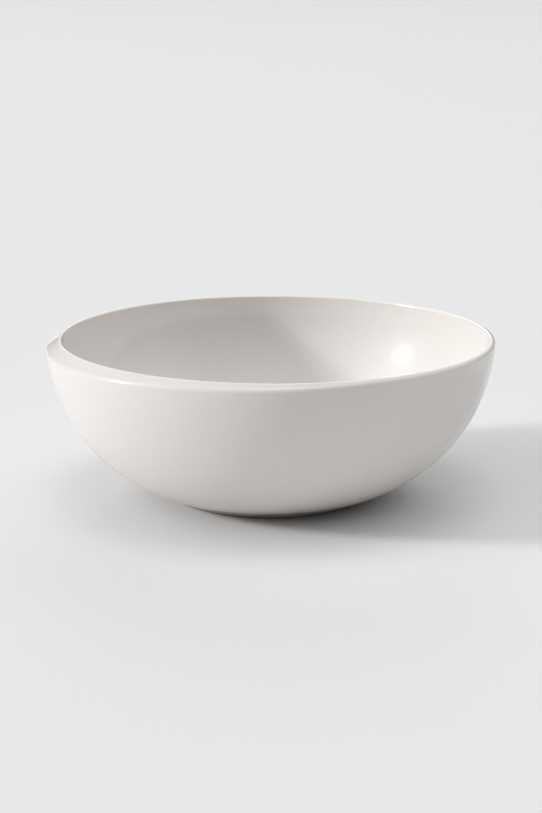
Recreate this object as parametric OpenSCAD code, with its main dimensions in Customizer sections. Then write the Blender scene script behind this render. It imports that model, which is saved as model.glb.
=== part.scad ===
// Round serving bowl in glazed porcelain.
// The outside is turned about the Z axis. The opening is round too, but it sits off centre
// towards +X, so the lip is a crescent: broad and sloping on the -X side, narrow on the +X side.
// Millimetres, +Z up. The origin is on the ground, at the centre of the foot.

/* [Bowl] */
// Outside diameter at the lip
bowl_d = 285; // [235:1:345]
// Height from the ground to the highest line of the lip
bowl_h = 102.5; // [84:0.5:124]
// Height above the lip at which the outer wall would stand upright
wall_rise = 2.25; // [0:0.05:6]

/* [Opening] */
// Mean breadth of the lip, measured level from the outside to its highest line
lip_w = 5.7; // [4.7:0.1:9]
// How far the opening sits off centre, towards +X
opening_shift = 3.2; // [0:0.1:3.9]
// Radius of the rounded inner edge of the lip
lip_inner_r = 1.5; // [0.8:0.1:2]
// Thickness of the floor in the middle
floor_t = 5.5; // [4:0.1:9]
// How far the flat of the floor stops short of the outside of the foot
floor_in = 20; // [10:1:40]

/* [Lip slopes] */
// Slope of the lip's face on its broad side, below level
face_broad_angle = 35; // [15:1:40]
// Slope of the lip's face on its narrow side, below level
face_narrow_angle = 19; // [10:1:25]

/* [Foot] */
// Outside diameter of the foot ring
foot_d = 128; // [100:1:156]
// Height of the foot ring on the outside
foot_h = 2.1; // [1.8:0.1:5]
// Breadth of the foot ring at the ground
foot_w = 5.5; // [4:0.1:9]
// Depth of the hollow inside the foot ring
recess_h = 3.4; // [2.4:0.1:6]
// Height of the foot ring's rounded edges, and the breadth of the inner one
foot_edge_r = 0.8; // [0.3:0.1:1]
// Breadth of the foot ring's outer rounded edge
foot_edge_w = 2; // [0.8:0.1:2.4]

/* [Glaze] */
// Thickness of the glaze
glaze_t = 0.3; // [0.15:0.05:0.6]
// Height above the ground at which the glaze stops on the foot ring
glaze_line_h = 1.3; // [1.1:0.1:1.6]
// Width of bare clay left between the foot ring and the glaze under the base
bare_w = 1.5; // [0.5:0.1:5]

/* [Hidden] */
$fn = 180;
arc_steps = 40;
edge_steps = 4;
over = 1;

bowl_r = bowl_d / 2;
opening_r = bowl_r - lip_w;
foot_r = foot_d / 2;

// The outer wall is one arc, upright at wall_top and running down to the top of the foot ring.
wall_top = bowl_h + wall_rise;
wall_arc_r = (pow(bowl_r - foot_r, 2) + pow(wall_top - foot_h, 2)) / (2 * (bowl_r - foot_r));

// The inner wall is a quarter of an ellipse between the flat floor and the lip.
inner_top = bowl_h - lip_inner_r;
floor_z = recess_h + floor_t;
floor_r = foot_r - floor_in;

// The hollow under the base has a sloping side, a little wider at its mouth than at its roof.
recess_mouth_r = foot_r - foot_w;
recess_roof_r = recess_mouth_r - foot_w / 4;

// Points of an arc about [x, y], from angle a to angle b in equal steps.
function arc(x, y, rx, ry, a, b, steps) =
    [for (i = [0:steps]) [x + rx * cos(a + (b - a) * i / steps), y + ry * sin(a + (b - a) * i / steps)]];

// Half section of the outside, from the axis out, with everything above the glaze line inset.
// It stands as high as the highest line of the lip, and the lip's face is cut later.
module outer_section(inset) {
    wall_x = bowl_r - wall_arc_r;
    reach = wall_arc_r - inset;
    low = -acos((foot_r - inset - wall_x) / reach);
    polygon(concat(
        [[0, recess_h], [recess_roof_r, recess_h]],
        arc(recess_mouth_r + foot_edge_r, foot_edge_r, foot_edge_r, foot_edge_r, 180, 270, edge_steps),
        arc(foot_r - foot_edge_w, foot_edge_r, foot_edge_w, foot_edge_r, -90, 0, edge_steps),
        [[foot_r, glaze_line_h], [foot_r - inset, glaze_line_h]],
        arc(wall_x, wall_top, reach, reach, low, -asin(wall_rise / reach), arc_steps),
        [[0, bowl_h]]
    ));
}

// Half section of the hollow, about its own axis, with its walls moved out by grow.
// The mouth is as wide as the highest line, less the round of the lip's inner edge.
module hollow_section(grow) {
    edge_r = lip_inner_r - grow;
    reach = opening_r - edge_r - floor_r;
    drop = inner_top - floor_z + grow;
    polygon(concat(
        [[0, floor_z - grow]],
        arc(floor_r, inner_top, reach, drop, -90, 0, arc_steps),
        [[0, inner_top]]
    ));
    difference() {
        translate([0, inner_top])
            square([opening_r + edge_r / 2, lip_inner_r + over]);
        translate([opening_r, inner_top])
            circle(r = edge_r);
    }
}

// All that lies above the lip's sloping face. The face is part of a lopsided cone, which holds the
// circle of the opening at height top and falls away from it at the two given slopes.
module above_face(top) {
    depth = (lip_w + opening_shift) * tan(face_broad_angle) + 3 * over;
    spread = (1 / tan(face_narrow_angle) + 1 / tan(face_broad_angle)) / 2;
    lean = (1 / tan(face_narrow_angle) - 1 / tan(face_broad_angle)) / 2;
    low_r = opening_r + spread * depth;
    high_r = opening_r - spread * 2 * over;
    difference() {
        translate([0, 0, top - depth + over])
            cylinder(r = bowl_r + over, h = depth + 2 * over);
        multmatrix([[1, 0, -lean, opening_shift + lean * top], [0, 1, 0, 0], [0, 0, 1, 0], [0, 0, 0, 1]])
            translate([0, 0, top - depth])
                cylinder(r1 = low_r, r2 = high_r, h = depth + 2 * over);
    }
}

// The whole bowl, with every glazed face moved in by inset.
module bowl_form(inset) {
    difference() {
        rotate_extrude()
            outer_section(inset);
        translate([opening_shift, 0, 0])
            rotate_extrude()
                hollow_section(inset);
        above_face(bowl_h - inset);
    }
}

// The disc of glaze under the base, in from the foot ring.
module base_disc() {
    translate([0, 0, recess_h])
        cylinder(r = recess_roof_r - bare_w, h = glaze_t);
}

// The fired clay: wall, floor and foot ring in one, bare where the bowl stands.
module porcelain_body() {
    color([0.93, 0.91, 0.87])
        difference() {
            bowl_form(glaze_t);
            base_disc();
        }
}

// The glass skin over the inside, the lip and the outside, down to the glaze line.
module glaze_coat() {
    color([0.97, 0.96, 0.94])
        difference() {
            bowl_form(0);
            bowl_form(glaze_t);
        }
}

// The glass skin under the base.
module base_glaze() {
    color([0.95, 0.94, 0.92])
        base_disc();
}

porcelain_body();
glaze_coat();
base_glaze();
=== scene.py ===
# A round porcelain serving bowl: fired clay under a clear glossy glaze, standing on a bare foot ring.
# Metres, +Z up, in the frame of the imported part.
import math

import bpy
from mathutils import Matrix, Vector


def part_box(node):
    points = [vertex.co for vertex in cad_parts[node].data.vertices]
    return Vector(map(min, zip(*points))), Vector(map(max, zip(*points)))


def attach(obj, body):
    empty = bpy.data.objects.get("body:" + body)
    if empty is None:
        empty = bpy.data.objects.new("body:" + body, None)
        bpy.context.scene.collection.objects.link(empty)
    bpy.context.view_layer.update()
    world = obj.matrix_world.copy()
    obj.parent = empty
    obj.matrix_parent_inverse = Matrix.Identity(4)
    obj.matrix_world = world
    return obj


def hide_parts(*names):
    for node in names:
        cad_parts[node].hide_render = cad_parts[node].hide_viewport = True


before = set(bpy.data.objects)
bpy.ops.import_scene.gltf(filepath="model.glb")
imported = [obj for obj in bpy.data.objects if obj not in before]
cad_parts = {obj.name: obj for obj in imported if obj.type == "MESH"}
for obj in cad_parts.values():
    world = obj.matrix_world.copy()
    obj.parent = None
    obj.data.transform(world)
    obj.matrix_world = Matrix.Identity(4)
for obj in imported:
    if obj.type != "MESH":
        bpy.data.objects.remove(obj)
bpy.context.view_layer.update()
bpy.ops.object.select_all(action="DESELECT")


# --- Clay body ---------------------------------------------------------------------------------
# The fired porcelain: wall, floor and foot ring, formed in one piece and turned smooth at the foot.
# It is off-white and matte, and shows only where the glaze was wiped away so that the bowl would
# not stick to the kiln shelf: on the foot ring and in a narrow band inside it.

glaze_low, glaze_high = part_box("glaze_coat")
disc_low, disc_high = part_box("base_glaze")
lip_height = glaze_high.z
glaze_line = glaze_low.z
recess_roof = disc_low.z
glaze_thickness = disc_high.z - disc_low.z

foot_radius = 0.064
foot_height = 0.0021
foot_breadth = 0.0055
foot_round = 0.0008
foot_slant = 0.0020
bare_step = 0.00005
disc_clearance = 0.0001
wall_radius = 0.1425
wall_rise = 0.00225
wall_top = lip_height + wall_rise
wall_run = wall_radius - foot_radius
wall_arc = (wall_run ** 2 + (wall_top - foot_height) ** 2) / (2 * wall_run)

opening_radius = 0.1368
opening_shift = 0.0032
lip_round = 0.0015
floor_height = 0.0089
floor_in = 0.020
floor_radius = foot_radius - floor_in
broad_slope = math.radians(35)
narrow_slope = math.radians(19)
side_cut = 0.00115
front_cut_more = 0.00105
columns = 288
drape_depth = 0.014
widest_cut = 0.004
skin_gap = 0.00002


def arc_points(centre, radii, start, end, steps):
    """Points of an elliptical arc, as (radius, height), from one angle in degrees to another."""
    turns = [math.radians(start + (end - start) * step / steps) for step in range(steps + 1)]
    return [(centre[0] + radii[0] * math.cos(a), centre[1] + radii[1] * math.sin(a)) for a in turns]


def outer_line(inset):
    """The outside of the wall, from the top of the foot ring up to the level of the lip."""
    centre = (wall_radius - wall_arc, wall_top)
    reach = wall_arc - inset
    low = math.degrees(math.acos((foot_radius - inset - centre[0]) / reach))
    high = math.degrees(math.asin((wall_top - lip_height) / reach))
    return arc_points(centre, (reach, reach), -low, -high, 36)


def inner_line(inset):
    """The inside of the bowl, from the lip down the wall and in over the floor to the middle."""
    mouth = opening_radius - lip_round + inset
    top = lip_height - lip_round
    wall = arc_points((floor_radius, top), (mouth - floor_radius, top - floor_height + inset), 0, -90, 44)
    floor = [(floor_radius * (1 - step / 8), floor_height - inset) for step in range(1, 9)]
    return [(mouth, lip_height)] + wall[1:] + floor


def turned(name, outline, axis_x=0.0):
    """Turns an open outline of (radius, height) points about an upright axis, as on a wheel."""
    bpy.ops.object.select_all(action="DESELECT")
    bpy.ops.mesh.primitive_plane_add(size=0.001)
    piece = bpy.context.active_object
    piece.name = name
    bpy.ops.object.mode_set(mode="EDIT")
    bpy.ops.mesh.select_all(action="SELECT")
    bpy.ops.mesh.merge(type="CENTER")
    bpy.ops.transform.translate(value=(axis_x + outline[0][0], 0, outline[0][1]))
    for here, there in zip(outline, outline[1:]):
        step = (there[0] - here[0], 0, there[1] - here[1])
        bpy.ops.mesh.extrude_vertices_move(TRANSFORM_OT_translate={"value": step})
    bpy.ops.mesh.select_all(action="SELECT")
    bpy.ops.mesh.spin(steps=columns, angle=2 * math.pi, center=(axis_x, 0, 0), axis=(0, 0, 1))
    bpy.ops.mesh.select_all(action="SELECT")
    bpy.ops.mesh.remove_doubles(threshold=1e-6)
    bpy.ops.object.mode_set(mode="OBJECT")
    return piece


def lip_face(x, y):
    """Height of the lip's sloping face over a point: a lopsided cone through the highest line."""
    spread = (1 / math.tan(narrow_slope) + 1 / math.tan(broad_slope)) / 2
    lean = (1 / math.tan(narrow_slope) - 1 / math.tan(broad_slope)) / 2
    off = x - opening_shift
    a = spread ** 2 - lean ** 2
    b = 2 * (opening_radius * spread + off * lean)
    c = opening_radius ** 2 - off ** 2 - y ** 2
    return lip_height - (-b + math.sqrt(b * b - 4 * a * c)) / (2 * a)


def wall_reach(height, inset):
    """Radius of the outside of the wall at a height."""
    return wall_radius - wall_arc + math.sqrt((wall_arc - inset) ** 2 - (wall_top - height) ** 2)


def drape_outside(piece, inset):
    """Lowers the top rows of the outside so that the uppermost one lies in the lip's face."""
    start = lip_height - drape_depth
    for vertex in piece.data.vertices:
        if vertex.co.z > start:
            outward = Vector((vertex.co.x, vertex.co.y)).normalized()
            rim = lip_height - inset
            for settle in range(4):
                edge = outward * wall_reach(rim, inset)
                rim = lip_face(edge.x, edge.y) - inset
            share = (vertex.co.z - start) / (lip_height - start)
            vertex.co.z = start + share * (rim - start)
            vertex.co.xy = outward * wall_reach(vertex.co.z, inset)


def drape_inside(piece, inset):
    """Sets the uppermost row of the inside into the lip's face."""
    for vertex in piece.data.vertices:
        if vertex.co.z > lip_height - 0.001:
            vertex.co.z = lip_face(vertex.co.x, vertex.co.y) - inset


def outer_cut(x, y):
    """How far the outer edge of the lip is cut back to round it: furthest in front and behind."""
    return side_cut + front_cut_more * math.sin(math.atan2(y, x)) ** 2


def inner_cut(x, y):
    """How far the inner edge is cut back, so that its round keeps one radius on every slope."""
    slope = math.atan2(lip_face(x * 0.99, y * 0.99) - lip_face(x, y), 0.01 * math.hypot(x, y))
    return lip_round / math.tan((math.pi / 2 - slope) / 2)


def lipped(outside, inside, inset):
    """Joins outside and inside with the crescent face of the lip, and rounds its two edges."""
    drape_outside(outside, inset)
    drape_inside(inside, inset)
    bpy.ops.object.select_all(action="DESELECT")
    inside.select_set(True)
    outside.select_set(True)
    bpy.context.view_layer.objects.active = outside
    bpy.ops.object.join()
    mesh = outside.data
    faces_at = [0] * len(mesh.edges)
    edge_number = {edge.key: edge.index for edge in mesh.edges}
    for polygon in mesh.polygons:
        for key in polygon.edge_keys:
            faces_at[edge_number[key]] += 1
    rims = []
    for edge in mesh.edges:
        middle = (mesh.vertices[edge.vertices[0]].co + mesh.vertices[edge.vertices[1]].co) / 2
        if faces_at[edge.index] == 1 and middle.z > lip_height - 0.010:
            rims.append((edge.index, middle))
    bevel_weight = mesh.attributes.new("bevel_weight_edge", "FLOAT", "EDGE")
    for number, middle in rims:
        inner = math.hypot(middle.x - opening_shift, middle.y) < opening_radius
        cut = inner_cut(middle.x, middle.y) if inner else outer_cut(middle.x, middle.y)
        bevel_weight.data[number].value = (cut - inset / 2) / widest_cut
    for edge in mesh.edges:
        edge.select = False
    for vertex in mesh.vertices:
        vertex.select = False
    for polygon in mesh.polygons:
        polygon.select = False
    for number, middle in rims:
        mesh.edges[number].select = True
        for vertex in mesh.edges[number].vertices:
            mesh.vertices[vertex].select = True
    bpy.ops.object.mode_set(mode="EDIT")
    bpy.ops.mesh.select_mode(type="EDGE")
    bpy.ops.mesh.bridge_edge_loops()
    bpy.ops.mesh.select_mode(type="VERT")
    bpy.ops.mesh.select_all(action="SELECT")
    bpy.ops.mesh.normals_make_consistent(inside=False)
    bpy.ops.object.mode_set(mode="OBJECT")
    bevel = {"limit_method": "WEIGHT", "width": widest_cut, "segments": 8, "use_clamp_overlap": False}
    finish_with(outside, "BEVEL", **bevel)
    return outside


def finish_with(piece, kind, **settings):
    """Adds a modifier to a piece and applies it."""
    bpy.ops.object.select_all(action="DESELECT")
    piece.select_set(True)
    bpy.context.view_layer.objects.active = piece
    modifier = piece.modifiers.new(kind.title(), kind)
    for name, value in settings.items():
        setattr(modifier, name, value)
    bpy.ops.object.modifier_apply(modifier=modifier.name)


def smoothed(piece, degrees):
    """Shades a piece smooth over everything flatter than an angle, with the large faces kept true."""
    bpy.ops.object.select_all(action="DESELECT")
    piece.select_set(True)
    bpy.context.view_layer.objects.active = piece
    bpy.ops.object.shade_smooth_by_angle(angle=math.radians(degrees))
    finish_with(piece, "WEIGHTED_NORMAL", mode="FACE_AREA_WITH_ANGLE", keep_sharp=True)


def foot_line(inset):
    """The underside: the hollow's roof and side, round the bare foot ring, up to the glaze line."""
    mouth = foot_radius - foot_breadth
    roof = mouth - foot_breadth / 4
    bed = recess_roof + glaze_thickness
    line = [(roof * share, bed) for share in (0.0, 0.3, 0.6, 0.9)]
    bed_radius = disc_high.x + disc_clearance
    line += [(bed_radius, bed), (bed_radius, recess_roof), (roof, recess_roof)]
    line += arc_points((mouth + foot_round, foot_round), (foot_round, foot_round), 180, 270, 6)
    line += arc_points((foot_radius - foot_slant, foot_round), (foot_slant, foot_round), -90, 0, 8)
    line += [(foot_radius, glaze_line - bare_step), (foot_radius - inset, glaze_line)]
    return line


class Tone:
    """One value in a finish. Sums, differences and products of tones add their Math nodes."""

    def __init__(self, tree, socket=None):
        self.tree = tree
        self.socket = socket

    def node(self, kind, settings, inputs, output=0):
        """Adds a node of any kind, its settings first and then its inputs, and gives one output."""
        made = self.tree.nodes.new(kind)
        for name, value in settings.items():
            setattr(made, name, value)
        for name, value in inputs.items():
            if isinstance(value, Tone):
                self.tree.links.new(value.socket, made.inputs[name])
            else:
                made.inputs[name].default_value = value
        return Tone(self.tree, made.outputs[output])

    def maths(self, operation, *values):
        """Adds one Math node that works on the given values."""
        return self.node("ShaderNodeMath", {"operation": operation}, dict(enumerate(values)))

    def root(self):
        return self.maths("SQRT", self)

    def __pow__(self, other):
        return self.maths("POWER", self, other)

    def __add__(self, other):
        return self.maths("ADD", self, other)

    def __radd__(self, other):
        return self.maths("ADD", other, self)

    def __sub__(self, other):
        return self.maths("SUBTRACT", self, other)

    def __rsub__(self, other):
        return self.maths("SUBTRACT", other, self)

    def __mul__(self, other):
        return self.maths("MULTIPLY", self, other)

    def __rmul__(self, other):
        return self.maths("MULTIPLY", other, self)

    def ramp(self, low, high):
        """Rises smoothly from 0 to 1 as the value goes from low to high."""
        settings = {"interpolation_type": "SMOOTHSTEP"}
        return self.node("ShaderNodeMapRange", settings, {"Value": self, "From Min": low, "From Max": high})

    def noise(self, scale, detail=2.0, roughness=0.5):
        """An even cloudy pattern over this place, from 0 to 1."""
        inputs = {"Vector": self, "Scale": scale, "Detail": detail, "Roughness": roughness}
        return self.node("ShaderNodeTexNoise", {}, inputs, "Fac")

    def blend(self, first, second):
        """A colour between two others, by this share of the second."""
        return self.node("ShaderNodeMix", {"data_type": "RGBA"}, {0: self, 6: first, 7: second}, 2)


def new_finish(name):
    """An empty material, the place on the piece, and the parts of that place."""
    material = bpy.data.materials.new(name)
    material.use_nodes = True
    material.node_tree.nodes.clear()
    place = Tone(material.node_tree).node("ShaderNodeTexCoord", {}, {}, "Object")
    parts = material.node_tree.nodes.new("ShaderNodeSeparateXYZ")
    material.node_tree.links.new(place.socket, parts.inputs[0])
    return material, place, [Tone(material.node_tree, socket) for socket in parts.outputs]


def close_finish(material, place, fixed, **varied):
    """Puts the shader and the output on a material."""
    inputs = {name.replace("_", " "): value for name, value in varied.items()}
    shader = place.node("ShaderNodeBsdfPrincipled", {}, {**fixed, **inputs})
    output = material.node_tree.nodes.new("ShaderNodeOutputMaterial")
    material.node_tree.links.new(shader.socket, output.inputs["Surface"])
    return material


clay_inset = glaze_thickness + skin_gap
clay = lipped(
    turned("clay_body", foot_line(clay_inset) + outer_line(clay_inset)),
    turned("clay_inside", inner_line(clay_inset), opening_shift),
    clay_inset,
)
smoothed(clay, 35)

bare_clay, place, (across, along, height) = new_finish("bare_fired_clay")
radius = (across * across + along * along).root()
grain = place.noise(2600, 3.0, 0.6)
patches = place.noise(45, 3.0, 0.55)
body_colour = patches.blend((0.66, 0.625, 0.58, 1), (0.74, 0.705, 0.66, 1))
flash = height.ramp(glaze_line - 0.0006, glaze_line) * 0.45
toasted = flash.blend(body_colour, (0.60, 0.47, 0.36, 1))
standing = (1 - height.ramp(0.0, 0.00035)) * (0.35 + 0.5 * place.noise(320, 2.0))
worn = standing.blend(toasted, (0.42, 0.40, 0.38, 1))
speckle = grain.ramp(0.30, 0.42)
speckled = (0.12 - 0.12 * speckle).blend(worn, (0.38, 0.34, 0.30, 1))
# Painted shade: a near-black, slightly mottled line on the outer rounding of the foot ring, just above the
# table, stands in for the contact shadow in the crevice where the ring meets the table.
rim_start = foot_radius - foot_slant
contact_shadow_band = radius.ramp(rim_start, rim_start + 0.0005) * (1 - height.ramp(0.0004, 0.0008))
painted_contact_shadow = contact_shadow_band * (0.85 + 0.15 * place.noise(500, 2.0))
clay_colour = painted_contact_shadow.blend(speckled, (0.085, 0.075, 0.068, 1))
clay_relief = place.node("ShaderNodeBump", {}, {"Strength": 0.7, "Distance": 0.00006, "Height": grain})
close_finish(
    bare_clay, place, {"IOR": 1.45},
    Base_Color=clay_colour, Roughness=0.72 - 0.25 * standing + 0.08 * patches, Normal=clay_relief,
)
clay.data.materials.append(bare_clay)
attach(clay, "root")
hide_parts("porcelain_body")


# --- Glaze over the bowl -----------------------------------------------------------------------
# A clear glaze, poured inside and out before the firing. It is a skin of glass a third of a
# millimetre thick that ends in a clean line on the foot ring, where it was wiped off.

glaze = lipped(
    turned("glaze_skin", [(foot_radius, glaze_line), (foot_radius, glaze_line + 0.0004)] + outer_line(0.0)),
    turned("glaze_inside", inner_line(0.0), opening_shift),
    0.0,
)
finish_with(glaze, "SOLIDIFY", thickness=glaze_thickness, offset=-1.0)
smoothed(glaze, 40)

clear_glaze, place, parts = new_finish("clear_gloss_glaze")
height = parts[2]
clouds = place.noise(24, 2.0)
fine_clouds = place.noise(160, 2.0)
white = (0.35 + 0.45 * clouds + 0.2 * fine_clouds).blend((0.800, 0.768, 0.738, 1), (0.835, 0.806, 0.780, 1))
thin_edge = height.ramp(lip_height - 0.005, lip_height) * 0.35
edged = thin_edge.blend(white, (0.83, 0.785, 0.745, 1))
pool = (1 - height.ramp(glaze_line, 0.006)) * 0.5
pooled = pool.blend(edged, (0.80, 0.765, 0.735, 1))
peel = place.noise(130, 1.0)
swell = place.noise(30, 1.0)
skin = swell + 0.25 * peel
skin_relief = place.node("ShaderNodeBump", {}, {"Strength": 1.0, "Distance": 0.00004, "Height": skin})
close_finish(
    clear_glaze, place, {"IOR": 1.5},
    Base_Color=pooled, Roughness=0.035 + 0.025 * clouds + 0.015 * fine_clouds, Normal=skin_relief,
)
glaze.data.materials.append(clear_glaze)
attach(glaze, "root")
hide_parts("glaze_coat")


# --- Glaze under the base ----------------------------------------------------------------------
# The same glaze, poured over the hollow inside the foot ring and wiped back from its edge. It lies
# in the clay as a thin disc of glass with a rounded rim.

disc_radius = disc_high.x
rim_round = glaze_thickness * 0.8
under_line = [(0.0, disc_high.z), (disc_radius * 0.5, disc_high.z), (disc_radius, disc_high.z)]
rim_centre = (disc_radius - rim_round, disc_low.z + rim_round)
under_line += arc_points(rim_centre, (rim_round, rim_round), 0, -90, 5)
under_line += [(disc_radius * share, disc_low.z) for share in (0.8, 0.5, 0.2, 0.0)]
base_disc = turned("base_glaze_disc", under_line)
bpy.ops.object.mode_set(mode="EDIT")
bpy.ops.mesh.select_all(action="SELECT")
bpy.ops.mesh.normals_make_consistent(inside=False)
bpy.ops.object.mode_set(mode="OBJECT")
smoothed(base_disc, 40)
base_disc.data.materials.append(clear_glaze)
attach(base_disc, "root")
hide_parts("base_glaze")


# --- Table, light and camera -------------------------------------------------------------------
# A wide pale table without a visible edge, eight soft panels of studio light that fade out towards
# their rims, and one small window of light low on the left.

bpy.ops.object.select_all(action="DESELECT")
bpy.ops.mesh.primitive_plane_add(size=120, location=(0, 0, 0))
table = bpy.context.active_object
table.name = "pale_table"
pale, place = new_finish("pale_table_top")[:2]
table_tone = place.noise(2.0, 2.0)
close_finish(
    pale, place, {"IOR": 1.3, "Roughness": 0.9},
    Base_Color=table_tone.blend((0.795, 0.795, 0.797, 1), (0.805, 0.805, 0.807, 1)),
)
table.data.materials.append(pale)


def towards(azimuth, elevation):
    """Direction with a compass angle from +X and a height above level, both in degrees."""
    level = math.cos(math.radians(elevation))
    turn = math.radians(azimuth)
    return Vector((level * math.cos(turn), level * math.sin(turn), math.sin(math.radians(elevation))))


window_direction = towards(-173, 20.8)
window_light = bpy.data.lights.new("window", "AREA")
window_light.shape = "RECTANGLE"
window_light.size = 3.4
window_light.size_y = 4.4
window_light.energy = 4900
window = bpy.data.objects.new("window", window_light)
window.location = window_direction * 30
window.rotation_euler = (-window_direction).to_track_quat("-Z", "Y").to_euler()
bpy.context.collection.objects.link(window)

studio = bpy.data.worlds.new("soft_studio")
studio.use_nodes = True
studio.node_tree.nodes.clear()
outlook = Tone(studio.node_tree).node("ShaderNodeTexCoord", {}, {}, "Generated")
panels = (
    ("overhead", 0, 90, 32, 4.5),
    ("right", 0, 45, 8, 1.2),
    ("left, high", 180, 45, 32, 2.3),
    ("left, low", 187, 20, 8, 0.9),
    ("left, low, inner", 187, 20, 120, 6.0),
    ("behind, low", 90, 25, 32, 4.5),
    ("right, behind", 45, 40, 16, 1.4),
    ("in front, high", 270, 60, 8, 1.0),
)
panel_light = 0.0
for name, azimuth, elevation, tightness, strength in panels:
    facing = {0: outlook, 1: towards(azimuth, elevation)}
    share = outlook.node("ShaderNodeVectorMath", {"operation": "DOT_PRODUCT"}, facing, "Value")
    panel_light = panel_light + strength * share.maths("MAXIMUM", share, 0.0) ** tightness
daylight = outlook.node("ShaderNodeBackground", {}, {"Strength": panel_light})
sky_output = studio.node_tree.nodes.new("ShaderNodeOutputWorld")
studio.node_tree.links.new(daylight.socket, sky_output.inputs["Surface"])
bpy.context.scene.world = studio

lens = bpy.data.cameras.new("camera")
lens.lens = 81.03
lens.sensor_width = 36
lens.clip_end = 200
lens.dof.use_dof = False
camera = bpy.data.objects.new("camera", lens)
camera.location = (0.00044, -1.1415, 0.3388)
camera.rotation_euler = (math.radians(76.05), 0, 0)
bpy.context.collection.objects.link(camera)
bpy.context.scene.camera = camera
bpy.context.scene.view_settings.view_transform = "Standard"
